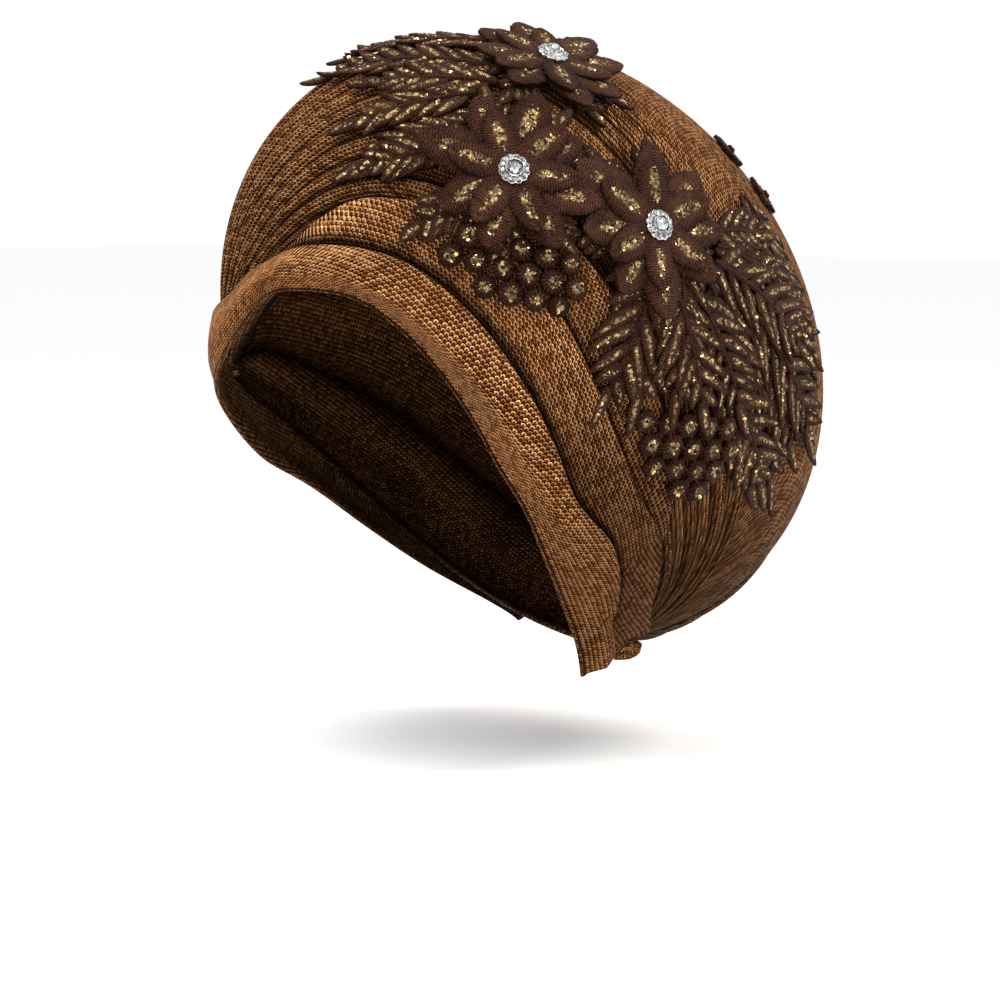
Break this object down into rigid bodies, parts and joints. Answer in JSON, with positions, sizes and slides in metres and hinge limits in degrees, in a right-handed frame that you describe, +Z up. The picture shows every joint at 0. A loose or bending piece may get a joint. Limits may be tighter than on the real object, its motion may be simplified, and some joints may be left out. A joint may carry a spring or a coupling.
{
  "type": "tied gele head tie",
  "caption": "Tied head tie with a puffed, pleated crown, crossed wraps over the forehead, corded lace flowers and leaf sprays, and rhinestone buttons.",
  "frame": {"origin": "middle of the head opening at brow height, where the tie sits on the head", "axes": "+Z up the wearer's head, the wearer faces -Y, the wearer's left is +X"},
  "size_m": [0.2196, 0.2673, 0.2411],
  "materials": {
    "cloth": "woven, gold rings on dark brown",
    "lace": "corded, matt, with glitter",
    "setting": "bright plating",
    "stone": "cut, clear"
  },
  "bodies": {
    "root": {"pleated_crown": "cloth", "lower_wrap": "cloth", "upper_wrap": "cloth", "side_fold": "cloth", "tail_tuck": "cloth", "flower_top": "lace", "flower_middle": "lace", "flower_side": "lace", "floret_upper": "lace", "floret_lower": "lace", "spray_top": "lace", "spray_left": "lace", "spray_lower": "lace", "spray_right": "lace", "spray_edge": "lace", "berry_cluster": "lace", "floret_net": "lace", "button_setting_top": "setting", "button_setting_middle": "setting", "button_setting_side": "setting", "button_stone_top": "stone", "button_stone_middle": "stone", "button_stone_side": "stone"}
  },
  "joints": []
}
